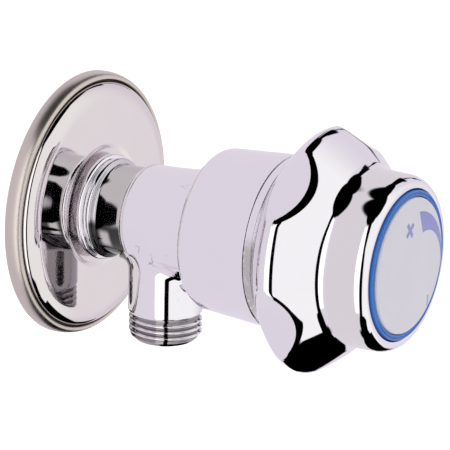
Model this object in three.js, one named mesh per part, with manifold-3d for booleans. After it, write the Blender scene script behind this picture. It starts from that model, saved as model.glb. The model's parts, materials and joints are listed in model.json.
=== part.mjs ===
// Angle stop valve with a wall flange, a bell shaped bonnet cover and a five lobed turning handle.
// Millimetres. The valve axis is the Y axis: the wall plane is Y = 0 and the handle faces -Y.
// The outlet points down, -Z. "reach" is the distance from the wall along -Y.
import * as THREE from "three";
import { mergeVertices } from "three/addons/utils/BufferGeometryUtils.js";
import Module from "manifold-3d";

// ---- driving dimensions ----
const GAP = 0.3;                  // clearance between pieces that touch
const THREAD_R = 10.48;           // G1/2 thread, outer radius
const THREAD_PITCH = 1.814;
const THREAD_DEPTH = 1.1;
const SHEET = 1.0;                // wall of the pressed flange

const FLANGE_R = 38;
const FLANGE_LIP_REACH = 4.5;
const FLANGE_FACE_REACH = 7.0;
const FLANGE_EMBOSS_R = 17.4;

const INLET_END = -12;            // the inlet thread goes into the wall
const COLLAR_REACH = 8.0;
const COLLAR_R = 15.2;
const NECK_R = 12.8;
const NECK_END = 21.8;
const CASTING_R = 14.4;
const CASTING_FRONT_R = 15.3;
const CASTING_END = 52;
const INLET_BORE_R = 8;
const SEAT_BORE_R = 5.5;
const SEAT_TUBE_R = 7.5;
const SEAT_REACH = 34;
const CHAMBER_R = 10.6;
const CHAMBER_START = 21.5;

const OUTLET_REACH = 28.6;
const OUTLET_BORE_R = 7;
const OUTLET_BOSS_R = 10.7;
const OUTLET_THREAD_TOP = 27.6;   // below the valve axis
const OUTLET_END = 35.4;

const COVER_START = 45.2;
const COVER_SHOULDER_R = 22.9;
const COVER_END = 67.5;
const COVER_END_R = 24.2;
const COVER_WALL = 1.2;
const COVER_WEB = 60.6;

const BONNET_THREAD_R = 10.25;
const BONNET_START = 42.5;
const HEX_START = 53.4;
const HEX_END = 60.3;
const HEX_FLATS = 24;
const BONNET_TOP = 70.5;
const GLAND_R = 6;                // bore that the spindle turns in
const GUIDE_FLATS = 14.2;         // hexagonal guide of the plunger, wide enough to pass the spindle's collar
const GUIDE_START = 46;
const COUNTERBORE_R = 8.3;
const COLLAR_ROOM_R = 7.3;
const COLLAR_ROOM_END = 58;

const SPINDLE_R = 5.6;
const SPINDLE_START = 46;
const SPINDLE_COLLAR_R = 6.9;
const SPINDLE_COLLAR_START = 54.5;
const SPINDLE_COLLAR_END = 56.5;
const SPINDLE_END = 88;
const SPINDLE_THREAD_R = 4.4;
const SPLINE_R = 4.9;
const SPLINE_START = 73;
const O_RING_SECTION = 0.85;
const O_RING_R = 4.85;
const O_RING_REACHES = [61.6, 66.4];

const LIFT = 4.5;                 // plunger travel, closed to open
const SEAT_WASHER_START = SEAT_REACH + GAP;
const PLUNGER_START = 37.6;
const PLUNGER_HEAD_R = 7.4;
const PLUNGER_END = SPINDLE_COLLAR_START - LIFT - 0.5;

const HANDLE_START = 68;
const HANDLE_REAR_R = 24;
const LOBE_COUNT = 5;
const LOBE_R = 34.3;
const LOBE_REACH = 80.6;
const VALLEY_R = 30.2;
const VALLEY_ARC_R = 30;
const FIRST_VALLEY = 43.5;         // degrees from straight up, towards -X
const CAP_START = 93.4;
const CAP_R = 24.5;
const CAP_FRONT_R = 23.9;
const CAP_END = 104.7;
const RECESS_R = 20.8;
const RECESS_FLOOR = 96.5;
const INDEX_R = 18.7;
const INDEX_EDGE = 105.8;          // reach of the disc's rim
const INDEX_CROWN = 106.2;

// ---- finishes ----
const finish = (name, color, roughness, metalness) =>
  new THREE.MeshStandardMaterial({ name, color, roughness, metalness });
const chrome = () => finish("polished_chrome", 0xe3dfe6, 0.06, 1);
const flangeChrome = () => finish("flange_chrome", 0xd9cfcd, 0.16, 1);
const brass = () => finish("machined_brass", 0xc9a24e, 0.35, 1);
const steel = () => finish("spring_steel", 0x9b9ea3, 0.35, 1);
const rubber = () => finish("black_rubber", 0x1c1c1e, 0.8, 0);
const fibre = () => finish("red_fibre", 0x8e3b2c, 0.85, 0);
const nylon = () => finish("white_nylon", 0xe9e6df, 0.5, 0);

// ---- shape helpers ----
const wasm = await Module();
wasm.setup();

// [radius, reach] pairs become lathe points about the valve axis
const outline = (pairs) => pairs.map(([r, reach]) => new THREE.Vector2(r, -reach));

// points of a quarter ellipse from one corner of a rounding to the other
function rounding([r0, s0], [r1, s1], startsAlongRadius, steps = 5) {
  const points = [];
  for (let i = 0; i <= steps; i += 1) {
    const angle = (i / steps) * (Math.PI / 2);
    const early = Math.sin(angle);
    const late = 1 - Math.cos(angle);
    const radiusShare = startsAlongRadius ? early : late;
    const reachShare = startsAlongRadius ? late : early;
    points.push([r0 + (r1 - r0) * radiusShare, s0 + (s1 - s0) * reachShare]);
  }
  return points;
}

// points along a smooth curve with one control point
function bend(start, control, end, steps = 6) {
  const curve = new THREE.QuadraticBezierCurve(
    new THREE.Vector2(...start), new THREE.Vector2(...control), new THREE.Vector2(...end));
  return curve.getPoints(steps).map((p) => [p.x, p.y]);
}

function signedVolume(geometry) {
  const position = geometry.getAttribute("position");
  const index = geometry.getIndex();
  const [a, b, c] = [new THREE.Vector3(), new THREE.Vector3(), new THREE.Vector3()];
  let volume = 0;
  for (let i = 0; i < index.count; i += 3) {
    a.fromBufferAttribute(position, index.getX(i));
    b.fromBufferAttribute(position, index.getX(i + 1));
    c.fromBufferAttribute(position, index.getX(i + 2));
    volume += a.dot(b.cross(c)) / 6;
  }
  return volume;
}

// shared vertices, no zero triangles, faces pointing out
function closed(geometry) {
  const bare = geometry.clone();
  bare.deleteAttribute("normal");
  bare.deleteAttribute("uv");
  const merged = mergeVertices(bare, 1e-5);
  const source = merged.getIndex().array;
  const triangles = [];
  for (let i = 0; i < source.length; i += 3) {
    const [a, b, c] = [source[i], source[i + 1], source[i + 2]];
    if (a !== b && b !== c && c !== a) triangles.push(a, b, c);
  }
  merged.setIndex(triangles);
  if (signedVolume(merged) < 0) {
    for (let i = 0; i < triangles.length; i += 3) {
      [triangles[i], triangles[i + 1]] = [triangles[i + 1], triangles[i]];
    }
    merged.setIndex(triangles);
  }
  return merged;
}

// a turned piece: the outline of [radius, reach] pairs closes on itself
function turned(pairs, segments = 40) {
  const ring = outline(pairs);
  ring.push(ring[0].clone());
  return closed(new THREE.LatheGeometry(ring, segments));
}

// a turned piece whose outline starts and ends on the axis
function turnedSolid(pairs, segments = 40) {
  return closed(new THREE.LatheGeometry(outline(pairs), segments));
}

function toSolid(geometry) {
  const clean = closed(geometry);
  return new wasm.Manifold(new wasm.Mesh({
    numProp: 3,
    vertProperties: new Float32Array(clean.getAttribute("position").array),
    triVerts: new Uint32Array(clean.getIndex().array),
  }));
}

function toGeometry(solid) {
  const mesh = solid.getMesh();
  const geometry = new THREE.BufferGeometry();
  geometry.setAttribute("position", new THREE.BufferAttribute(mesh.vertProperties, 3));
  geometry.setIndex(new THREE.BufferAttribute(mesh.triVerts, 1));
  return geometry;
}

// a six sided prism about the valve axis
function hexPrism(flats, start, end) {
  const corner = flats / Math.sqrt(3);
  const prism = new THREE.CylinderGeometry(corner, corner, end - start, 6);
  prism.translate(0, -(start + end) / 2, 0);
  return prism;
}

function upright(geometry, reach) {
  geometry.rotateX(Math.PI / 2);
  geometry.translate(0, -reach, 0);
  return geometry;
}

// [radius, position] pairs of thread ridges, from one position to another
function threadRidges(from, to, crestR, depth = THREAD_DEPTH) {
  const count = Math.floor(Math.abs(to - from) / THREAD_PITCH);
  const step = Math.sign(to - from) * THREAD_PITCH;
  const pairs = [];
  for (let i = 0; i < count; i += 1) {
    const start = from + i * step;
    pairs.push([crestR - depth, start]);
    pairs.push([crestR, start + step / 2]);
  }
  pairs.push([crestR - depth, from + count * step]);
  return pairs;
}

function piece(name, geometry, material) {
  const mesh = new THREE.Mesh(closed(geometry), material);
  mesh.name = name;
  return mesh;
}

// ---- fixed pieces ----
function wallFlange() {
  const lipR = FLANGE_R - 1.6;
  const grooveR = FLANGE_R - 2.8;
  const faceR = FLANGE_R - 7.5;
  const holeR = THREAD_R + 0.5;
  const dish = FLANGE_FACE_REACH - 0.7;
  const front = [
    ...rounding([FLANGE_R, 0.6], [lipR, FLANGE_LIP_REACH], false, 4),
    [grooveR, FLANGE_LIP_REACH - 0.3],
    ...rounding([grooveR - 0.7, FLANGE_LIP_REACH], [faceR, FLANGE_FACE_REACH], false, 4),
    [FLANGE_EMBOSS_R + 0.5, FLANGE_FACE_REACH],
    [FLANGE_EMBOSS_R - 0.4, FLANGE_FACE_REACH - 0.2],
    [FLANGE_EMBOSS_R - 1.2, dish],
    [holeR, dish],
  ];
  const back = [
    [holeR, dish - SHEET],
    [FLANGE_EMBOSS_R - 0.8, dish - SHEET],
    [FLANGE_EMBOSS_R + 0.4, FLANGE_FACE_REACH - SHEET],
    [faceR - 0.4, FLANGE_FACE_REACH - SHEET],
    [grooveR - 1.4, FLANGE_LIP_REACH - SHEET - 0.2],
    [lipR - 0.6, FLANGE_LIP_REACH - SHEET - 0.4],
    [FLANGE_R - SHEET, 1.4],
    [FLANGE_R - SHEET, 0],
    [FLANGE_R, 0],
  ];
  return piece("wall_flange", turned([...front, ...back], 44), flangeChrome());
}

function castingOutline() {
  const outside = [
    [THREAD_R - 1.9, INLET_END],
    ...threadRidges(INLET_END + 0.8, COLLAR_REACH - 1.2, THREAD_R),
    [THREAD_R - 1.3, COLLAR_REACH],
    [COLLAR_R - 0.3, COLLAR_REACH],
    [COLLAR_R, COLLAR_REACH + 0.3],
    [COLLAR_R, COLLAR_REACH + 1.5],
    [COLLAR_R - 1.5, COLLAR_REACH + 1.9],
    [COLLAR_R - 0.8, COLLAR_REACH + 2.4],
    [COLLAR_R - 0.8, COLLAR_REACH + 3.9],
    [NECK_R, COLLAR_REACH + 4.4],
    [NECK_R + 0.1, COLLAR_REACH + 8],
    [NECK_R + 0.7, NECK_END - 1.6],
    [NECK_R + 0.9, NECK_END - 0.4],
    [CASTING_R - 0.4, NECK_END],
    [CASTING_R, NECK_END + 0.7],
    [CASTING_R + 0.3, 31],
    [CASTING_FRONT_R, 38],
    [CASTING_FRONT_R, CASTING_END - 0.6],
    [CASTING_FRONT_R - 0.6, CASTING_END],
  ];
  const inside = [
    [CHAMBER_R, CASTING_END],
    [CHAMBER_R, CHAMBER_START + 1],
    [CHAMBER_R - 1, CHAMBER_START],
    [SEAT_TUBE_R, CHAMBER_START],
    [SEAT_TUBE_R, SEAT_REACH - 0.4],
    [SEAT_TUBE_R - 0.4, SEAT_REACH],
    [SEAT_BORE_R, SEAT_REACH],
    [SEAT_BORE_R, CHAMBER_START - 1.5],
    [INLET_BORE_R, CHAMBER_START - 4.5],
    [INLET_BORE_R, INLET_END],
  ];
  return [...outside, ...inside];
}

function outletOutline() {
  const threadEnd = -OUTLET_END + 0.8;
  return [
    [0, -3],
    [OUTLET_BOSS_R + 1.2, -3],
    [OUTLET_BOSS_R + 1.2, -12.5],
    [OUTLET_BOSS_R + 0.3, -14.5],
    [OUTLET_BOSS_R, -16.5],
    [OUTLET_BOSS_R - 0.1, -OUTLET_THREAD_TOP + 0.5],
    ...threadRidges(-OUTLET_THREAD_TOP, threadEnd, THREAD_R),
    [THREAD_R - 1.15, threadEnd],
    [THREAD_R - 1.9, -OUTLET_END],
    [0, -OUTLET_END],
  ];
}

function valveBody() {
  const casting = toSolid(turned(castingOutline(), 32));
  const outletPoints = outletOutline().map(([r, z]) => new THREE.Vector2(r, z));
  const outlet = toSolid(upright(closed(new THREE.LatheGeometry(outletPoints, 28)), OUTLET_REACH));
  const chamberCore = [[0, SEAT_REACH + 8], [CHAMBER_R, SEAT_REACH + 8], [CHAMBER_R, CHAMBER_START + 1],
    [CHAMBER_R - 1, CHAMBER_START], [0, CHAMBER_START]];
  const core = toSolid(turnedSolid(chamberCore, 32));
  const boreLength = OUTLET_END - SEAT_TUBE_R - GAP;
  const bore = new THREE.CylinderGeometry(OUTLET_BORE_R, OUTLET_BORE_R, boreLength, 28);
  const boreCentre = -(OUTLET_END + 1 + SEAT_TUBE_R + 1 + GAP) / 2;
  const drill = toSolid(upright(bore.translate(0, boreCentre, 0), OUTLET_REACH));
  const branch = outlet.subtract(core).subtract(drill);
  return piece("valve_body", toGeometry(casting.subtract(drill).add(branch)), chrome());
}

function bonnetSeal() {
  const start = CASTING_END + GAP;
  const end = HEX_START - GAP;
  const ring = [[CHAMBER_R + 0.3, start], [CASTING_FRONT_R - 1, start], [CASTING_FRONT_R - 1, end],
    [CHAMBER_R + 0.3, end]];
  return piece("bonnet_seal", turned(ring, 32), fibre());
}

function headworkBonnet() {
  const nutR = 13.9;
  const sleeveR = 8.55;
  const shape = toSolid(turned([
    [BONNET_THREAD_R - 0.8, BONNET_START],
    [BONNET_THREAD_R, BONNET_START + 0.8],
    [BONNET_THREAD_R, HEX_START - 0.2],
    [nutR, HEX_START],
    [nutR, HEX_END],
    [sleeveR, HEX_END],
    [sleeveR, BONNET_TOP - 0.5],
    [sleeveR - 0.5, BONNET_TOP],
    [GLAND_R, BONNET_TOP],
    [GLAND_R, COLLAR_ROOM_END],
    [GLAND_R - 1, COLLAR_ROOM_END],
    [GLAND_R - 1, BONNET_START],
  ], 40));
  const drum = (radius, start, end) =>
    toSolid(turnedSolid([[0, end], [radius, end], [radius, start], [0, start]], 40));
  const counterbore = drum(COUNTERBORE_R, BONNET_START - 2, GUIDE_START);
  const collarRoom = drum(COLLAR_ROOM_R, SPINDLE_COLLAR_START - 0.5, COLLAR_ROOM_END);
  const guide = toSolid(hexPrism(GUIDE_FLATS, GUIDE_START - 1, SPINDLE_COLLAR_START + 0.5));
  const spannerHex = toSolid(hexPrism(HEX_FLATS, HEX_START - 0.5, HEX_END + 0.1));
  const belowHex = drum(13, BONNET_START - 2, HEX_START - 0.1);
  const aboveHex = drum(13, HEX_END, BONNET_TOP + 2);
  const keep = spannerHex.add(belowHex).add(aboveHex);
  const solid = shape.intersect(keep).subtract(counterbore).subtract(collarRoom).subtract(guide);
  return piece("headwork_bonnet", toGeometry(solid), brass());
}

function bonnetCover() {
  const holeR = CASTING_FRONT_R + 0.45;
  const innerEndR = COVER_END_R - COVER_WALL;
  const innerWebR = innerEndR - 0.5;
  const section = [
    [holeR, COVER_START],
    [COVER_SHOULDER_R - 4, COVER_START],
    ...rounding([COVER_SHOULDER_R - 3.4, COVER_START + 0.05], [COVER_SHOULDER_R, COVER_START + 3], true, 6),
    [COVER_END_R, COVER_END - 0.4],
    [COVER_END_R - 0.4, COVER_END],
    [innerEndR, COVER_END],
    [innerWebR, COVER_WEB + 1.8],
    [9.2, COVER_WEB + 1.8],
    [9.2, COVER_WEB],
    [innerWebR - 0.1, COVER_WEB],
    [COVER_SHOULDER_R - COVER_WALL, COVER_START + 3.4],
    [COVER_SHOULDER_R - 3.4, COVER_START + COVER_WALL],
    [holeR, COVER_START + COVER_WALL],
  ];
  return piece("bonnet_cover", turned(section, 40), chrome());
}

function oRing(name, centreR, reach, segments = 20) {
  const ring = [];
  const sides = 6;
  for (let i = 0; i < sides; i += 1) {
    const angle = (i / sides) * 2 * Math.PI;
    ring.push([centreR + O_RING_SECTION * Math.cos(angle), reach + O_RING_SECTION * Math.sin(angle)]);
  }
  return piece(name, turned(ring, segments), rubber());
}

function coverNut() {
  const start = COVER_WEB + 1.8 + GAP;
  const end = start + 3.6;
  const ring = toSolid(turned([[8.9, start], [13, start], [13, end - 0.4], [12.6, end], [8.9, end]], 40));
  const slot = new THREE.BoxGeometry(40, 3, 2.4);
  slot.translate(0, -(end - 0.1), 0);
  return piece("cover_nut", toGeometry(ring.subtract(toSolid(slot))), brass());
}

// ---- pieces that turn with the handle ----
function spindle() {
  const clipGrooveR = 4;
  const screwHoleR = 2.5;
  const groove = (reach) => [
    [SPINDLE_R, reach - 1.15],
    [O_RING_R - O_RING_SECTION - GAP, reach - 1.15],
    [O_RING_R - O_RING_SECTION - GAP, reach + 1.15],
    [SPINDLE_R, reach + 1.15],
  ];
  const shaft = toSolid(turnedSolid([
    [0, SPINDLE_START],
    [SPINDLE_THREAD_R - 0.6, SPINDLE_START],
    [SPINDLE_THREAD_R, SPINDLE_START + 0.6],
    [SPINDLE_THREAD_R, SPINDLE_COLLAR_START],
    [SPINDLE_COLLAR_R, SPINDLE_COLLAR_START],
    [SPINDLE_COLLAR_R, SPINDLE_COLLAR_END],
    [SPINDLE_R, SPINDLE_COLLAR_END],
    ...O_RING_REACHES.flatMap(groove),
    [SPINDLE_R, BONNET_TOP + 0.3],
    [clipGrooveR, BONNET_TOP + 0.3],
    [clipGrooveR, BONNET_TOP + 1.7],
    [SPINDLE_R, BONNET_TOP + 1.7],
    [SPINDLE_R, SPLINE_START],
    [SPLINE_R, SPLINE_START + 0.6],
    [SPLINE_R, SPINDLE_END - 0.5],
    [SPLINE_R - 0.5, SPINDLE_END],
    [screwHoleR, SPINDLE_END],
    [screwHoleR, SPLINE_START + 3],
    [0, SPLINE_START + 2],
  ], 24));
  const splineCount = 8;
  let splined = shaft;
  for (let i = 0; i < splineCount; i += 1) {
    const notch = new THREE.BoxGeometry(0.9, SPINDLE_END - SPLINE_START - 1.5, 0.9);
    notch.translate(0, -(SPINDLE_END + SPLINE_START + 2.5) / 2, SPLINE_R);
    notch.rotateY((i / splineCount) * 2 * Math.PI);
    splined = splined.subtract(toSolid(notch));
  }
  return piece("spindle", toGeometry(splined), brass());
}

function frictionWasher() {
  const start = SPINDLE_COLLAR_END + GAP;
  const end = COLLAR_ROOM_END - GAP;
  const ring = [[GLAND_R, start], [COLLAR_ROOM_R - GAP, start], [COLLAR_ROOM_R - GAP, end], [GLAND_R, end]];
  return piece("friction_washer", turned(ring, 32), nylon());
}

function spindleCirclip() {
  const outer = 7.6;
  const inner = 4.3;
  const halfOpening = 0.7;
  const shape = new THREE.Shape();
  shape.absarc(0, 0, outer, halfOpening * 0.6, 2 * Math.PI - halfOpening * 0.6, false);
  shape.absarc(0, 0, inner, 2 * Math.PI - halfOpening, halfOpening, true);
  shape.closePath();
  const clip = new THREE.ExtrudeGeometry(shape, { depth: 0.8, bevelEnabled: false, curveSegments: 24 });
  clip.rotateX(Math.PI / 2);
  clip.translate(0, -(BONNET_TOP + 0.6), 0);
  return piece("spindle_circlip", clip, steel());
}

// distance from the axis to the edge of the five scallops, at an angle about the axis
function scallopRadius(angle) {
  const pitch = (2 * Math.PI) / LOBE_COUNT;
  const fromValley = angle - THREE.MathUtils.degToRad(FIRST_VALLEY);
  const offset = fromValley - pitch * Math.round(fromValley / pitch);
  const centre = VALLEY_R + VALLEY_ARC_R;
  const across = centre * Math.sin(offset);
  const room = VALLEY_ARC_R ** 2 - across ** 2;
  return room <= 0 ? 2 * LOBE_R : centre * Math.cos(offset) - Math.sqrt(room);
}

// the smaller of two radii, with a soft change between them
function softSmaller(a, b, softness) {
  const share = Math.max(softness - Math.abs(a - b), 0) / softness;
  return Math.min(a, b) - (share * share * softness) / 4;
}

function handleOutline() {
  const outside = [
    [22.2, HANDLE_START],
    [HANDLE_REAR_R - 0.3, HANDLE_START],
    [HANDLE_REAR_R, HANDLE_START + 0.3],
    ...bend([HANDLE_REAR_R, 69.6], [HANDLE_REAR_R + 0.3, 71.4], [27.8, 73], 3),
    ...bend([31, 75.4], [LOBE_R - 0.3, 78.4], [LOBE_R, LOBE_REACH], 4),
    ...bend([33.8, 81.8], [30.2, 86.4], [26.7, 90.8], 6),
    ...bend([26, 91.6], [24.9, 91.9], [CAP_R, CAP_START], 4),
    [CAP_R - 0.2, 101.6],
    ...rounding([CAP_FRONT_R + 0.3, 102.4], [CAP_FRONT_R - 1.3, CAP_END], false, 4),
    [RECESS_R + 0.4, CAP_END],
    [RECESS_R, CAP_END - 0.4],
  ];
  const inside = [
    [RECESS_R, RECESS_FLOOR],
    [3.1, RECESS_FLOOR],
    [3.1, 93],
    [8.4, 93],
    [8.4, 74],
    [10.6, 74],
    [10.9, 91],
    [21, 91],
    [24.4, 86],
    [26, 80],
    [25.6, 77],
    [22.2, 73],
  ];
  return [...outside, ...inside];
}

function handle() {
  const geometry = turned(handleOutline(), 60);
  const position = geometry.getAttribute("position");
  for (let i = 0; i < position.count; i += 1) {
    const x = position.getX(i);
    const z = position.getZ(i);
    const radius = Math.hypot(x, z);
    if (radius > 26.5) {
      const limit = scallopRadius(Math.atan2(-x, z));
      const scale = softSmaller(radius, limit, 1.6) / radius;
      position.setX(i, x * scale);
      position.setZ(i, z * scale);
    }
  }
  return piece("handle", geometry, chrome());
}

function handleInsert() {
  const start = 74.4;
  const end = 92.4;
  const sleeve = toSolid(turned([[5.3, start], [7.6, start], [7.6, end], [3.1, end], [3.1, SPINDLE_END + GAP],
    [5.3, SPINDLE_END + GAP]], 36));
  const ribCount = 6;
  let ribbed = sleeve;
  for (let i = 0; i < ribCount; i += 1) {
    const rib = new THREE.BoxGeometry(1.6, end - start - 1, 1.4);
    rib.translate(0, -(start + end) / 2, 7.3);
    rib.rotateY((i / ribCount) * 2 * Math.PI);
    ribbed = ribbed.add(toSolid(rib));
  }
  return piece("handle_insert", toGeometry(ribbed), nylon());
}

function handleScrew() {
  const headStart = RECESS_FLOOR + GAP + 1.0 + GAP;
  const headEnd = headStart + 2.6;
  const body = toSolid(turnedSolid([
    [0, 79],
    [1.6, 79],
    [2.2, 79.8],
    [2.2, headStart],
    [4.4, headStart],
    ...rounding([4.4, headStart + 0.8], [1.5, headEnd], false, 4),
    [0, headEnd],
  ], 28));
  const slot = new THREE.BoxGeometry(7.4, 1.2, 1.1);
  slot.translate(0, -headEnd, 0);
  const crossSlot = slot.clone().rotateY(Math.PI / 2);
  const screw = body.subtract(toSolid(slot).add(toSolid(crossSlot)));
  return piece("handle_screw", toGeometry(screw), steel());
}

function screwWasher() {
  const start = RECESS_FLOOR + GAP;
  const ring = [[2.6, start], [5.4, start], [5.4, start + 1], [2.6, start + 1]];
  return piece("screw_washer", turned(ring, 28), steel());
}

function indexRing() {
  const inner = INDEX_R + GAP;
  const outer = RECESS_R - GAP;
  const start = RECESS_FLOOR + GAP;
  const end = CAP_END + 0.4;
  const ring = [[inner, start], [outer, start], [outer, end], [inner, end]];
  return piece("index_ring", turned(ring, 40), finish("blue_plastic", 0x2f7fd6, 0.35, 0));
}

function indexDisc() {
  const start = RECESS_FLOOR + GAP;
  const plate = [
    [0, 103.2],
    [INDEX_R - 1.6, 103],
    [INDEX_R - 1.6, start],
    [INDEX_R, start],
    ...rounding([INDEX_R, INDEX_EDGE - 0.6], [INDEX_R - 0.8, INDEX_EDGE], false, 3),
    [12, INDEX_EDGE + (INDEX_CROWN - INDEX_EDGE) * 0.5],
    [6, INDEX_EDGE + (INDEX_CROWN - INDEX_EDGE) * 0.87],
    [0, INDEX_CROWN],
  ];
  return piece("index_disc", turnedSolid(plate, 40), finish("pale_plastic", 0xd9d6de, 0.3, 0));
}

// ---- pieces that slide with the plunger ----
function plunger() {
  const stemStart = PLUNGER_START + 3.9;
  const threadHoleR = SPINDLE_THREAD_R + 0.35;
  const core = toSolid(turnedSolid([
    [0, PLUNGER_START + 2.1],
    [2.5, PLUNGER_START + 2.1],
    [2.5, PLUNGER_START],
    [PLUNGER_HEAD_R, PLUNGER_START],
    [PLUNGER_HEAD_R, PLUNGER_START + 2.8],
    [PLUNGER_HEAD_R - 1, PLUNGER_START + 3.2],
    [PLUNGER_HEAD_R - 1, stemStart + 0.5],
    [0, stemStart + 0.5],
  ], 36));
  const stem = toSolid(hexPrism(GUIDE_FLATS - 0.7, stemStart, PLUNGER_END));
  const threadBore = toSolid(turnedSolid([[0, PLUNGER_END + 0.5], [threadHoleR, PLUNGER_END + 0.5],
    [threadHoleR, stemStart - 0.5], [0, stemStart - 1.2]], 32));
  return piece("plunger", toGeometry(core.add(stem).subtract(threadBore)), brass());
}

function seatWasher() {
  const end = PLUNGER_START - GAP;
  const ring = [[2.5, SEAT_WASHER_START], [6.8, SEAT_WASHER_START], [7.2, SEAT_WASHER_START + 0.4],
    [7.2, end], [2.5, end]];
  return piece("seat_washer", turned(ring, 28), rubber());
}

function washerRetainer() {
  const end = SEAT_WASHER_START - GAP;
  const ring = [[2.5, end - 0.7], [4.9, end - 0.7], [4.9, end], [2.5, end]];
  return piece("washer_retainer", turned(ring, 28), brass());
}

function washerScrew() {
  const headEnd = SEAT_WASHER_START - 2 * GAP - 0.7;
  const body = toSolid(turnedSolid([
    [0, headEnd - 1.6],
    [3.4, headEnd - 1.6],
    [3.8, headEnd - 1.2],
    [3.8, headEnd],
    [2.1, headEnd],
    [2.1, PLUNGER_START + 1.3],
    [1.7, PLUNGER_START + 1.7],
    [0, PLUNGER_START + 1.7],
  ], 28));
  const slot = new THREE.BoxGeometry(10, 1.4, 1);
  slot.translate(0, -(headEnd - 1.6), 0);
  return piece("washer_screw", toGeometry(body.subtract(toSolid(slot))), brass());
}

// ---- the valve ----
const valve = new THREE.Group();
const fixedPieces = new THREE.Group();
const turningPieces = new THREE.Group();
const slidingPieces = new THREE.Group();
fixedPieces.add(wallFlange(), valveBody(), bonnetSeal(), headworkBonnet(), bonnetCover());
fixedPieces.add(oRing("cover_o_ring", CASTING_FRONT_R + GAP + O_RING_SECTION, COVER_START + 2.5, 24));
fixedPieces.add(coverNut());
turningPieces.add(spindle(), frictionWasher(), spindleCirclip());
turningPieces.add(...O_RING_REACHES.map((reach, i) => oRing(`spindle_o_ring_${i + 1}`, O_RING_R, reach)));
turningPieces.add(handle(), handleInsert(), handleScrew(), screwWasher(), indexRing(), indexDisc());
slidingPieces.add(plunger(), seatWasher(), washerRetainer(), washerScrew());
valve.add(fixedPieces, turningPieces, slidingPieces);

export default valve;
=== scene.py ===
"""Angle stop valve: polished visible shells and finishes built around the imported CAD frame.

The valve axis is the Y axis: the wall is the plane Y = 0, and the handle faces -Y. "Reach" is the
distance from the wall along -Y, and the outlet points down. Outlines are in millimetres.
"""
import json
import math

import bmesh
import bpy
from mathutils import Matrix, Vector


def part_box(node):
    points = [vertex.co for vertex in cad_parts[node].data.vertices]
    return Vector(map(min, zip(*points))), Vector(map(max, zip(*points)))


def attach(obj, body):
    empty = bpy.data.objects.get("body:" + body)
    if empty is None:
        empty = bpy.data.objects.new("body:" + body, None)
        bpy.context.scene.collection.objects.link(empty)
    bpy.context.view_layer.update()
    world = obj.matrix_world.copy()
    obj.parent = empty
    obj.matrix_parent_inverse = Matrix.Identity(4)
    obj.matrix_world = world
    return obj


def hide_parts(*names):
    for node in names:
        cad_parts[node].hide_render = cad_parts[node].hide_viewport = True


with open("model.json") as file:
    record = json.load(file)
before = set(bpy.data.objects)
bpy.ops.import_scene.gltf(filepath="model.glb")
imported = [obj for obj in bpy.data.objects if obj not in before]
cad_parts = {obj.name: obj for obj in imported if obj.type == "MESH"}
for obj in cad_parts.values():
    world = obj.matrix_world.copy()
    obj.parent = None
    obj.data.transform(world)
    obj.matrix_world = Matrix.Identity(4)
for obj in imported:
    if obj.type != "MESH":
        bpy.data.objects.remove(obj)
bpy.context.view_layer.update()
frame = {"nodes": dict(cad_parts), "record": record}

MM = 0.001


# ---- sizes, from the frame where it has them ----
def turned_size(node):
    """Radius, nearest reach and furthest reach of a turned CAD node, in millimetres."""
    low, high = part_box(node)
    return high.x / MM, -high.y / MM, -low.y / MM


FLANGE_R, _, FLANGE_FACE = turned_size("wall_flange")
CASTING_R, INLET_END, CASTING_END = turned_size("valve_body")
COVER_R, COVER_START, COVER_END = turned_size("bonnet_cover")
_, HANDLE_START, HANDLE_END = turned_size("handle")
RING_R, RING_START, RING_END = turned_size("index_ring")
DISC_R, DISC_START, DISC_CROWN = turned_size("index_disc")
OUTLET_END = -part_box("valve_body")[0].z / MM

OUTLET_REACH = 28.6
OUTLET_BORE_R = 7.0
BOSS_R = 10.7
BOSS_FILLET = 2.6
THREAD_R = 10.48
THREAD_PITCH = 1.814
THREAD_DEPTH = 1.1
THREAD_FLAT = 0.12                 # flat of a root and of a crest, as a share of half a pitch
THREAD_LEAD = 0.8                  # plain run at the free end of a thread
OUTLET_THREAD_TOP = 27.6

LOBE_R = 34.3
LOBE_REACH = HANDLE_START + 12.6
LOBE_COUNT = 5
VALLEY_R = 30.2
VALLEY_ARC_R = 30.0
FIRST_VALLEY = math.radians(43.5)
LOBE_SOFTNESS = 1.6
LOBES_START_R = 26.5
CAP_START = HANDLE_END - 11.3
CAP_R = 24.5
RECESS_R = 20.8
RECESS_FLOOR = RING_START - 0.3

AROUND = 256                       # facets round a turned piece, unless it has its own number
FLANGE_AROUND = 320
COVER_AROUND = 320
HANDLE_AROUND = 360
INDEX_AROUND = 240
BOSS_AROUND = 224
BORE_AROUND = 160
SUPPORT = 0.35                     # straight run kept beside each rounding, as a share of it


# ---- outlines ----
def bend(start, control, end, steps=12):
    """Points along a smooth curve with one control point."""
    points = []
    for i in range(steps + 1):
        t = i / steps
        points.append(tuple(
            (1 - t) ** 2 * a + 2 * t * (1 - t) * b + t * t * c
            for a, b, c in zip(start, control, end)))
    return points


def quarter(start, end, along_radius_first, steps=10):
    """Points along a quarter of an ellipse from one (radius, reach) to another."""
    if along_radius_first:
        corner = (end[0], start[1])
    else:
        corner = (start[0], end[1])
    centre = (start[0] + end[0] - corner[0], start[1] + end[1] - corner[1])
    points = []
    for i in range(steps + 1):
        angle = i / steps * math.pi / 2
        points.append(tuple(
            c + (s - c) * math.cos(angle) + (e - c) * math.sin(angle)
            for c, s, e in zip(centre, start, end)))
    return points


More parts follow.
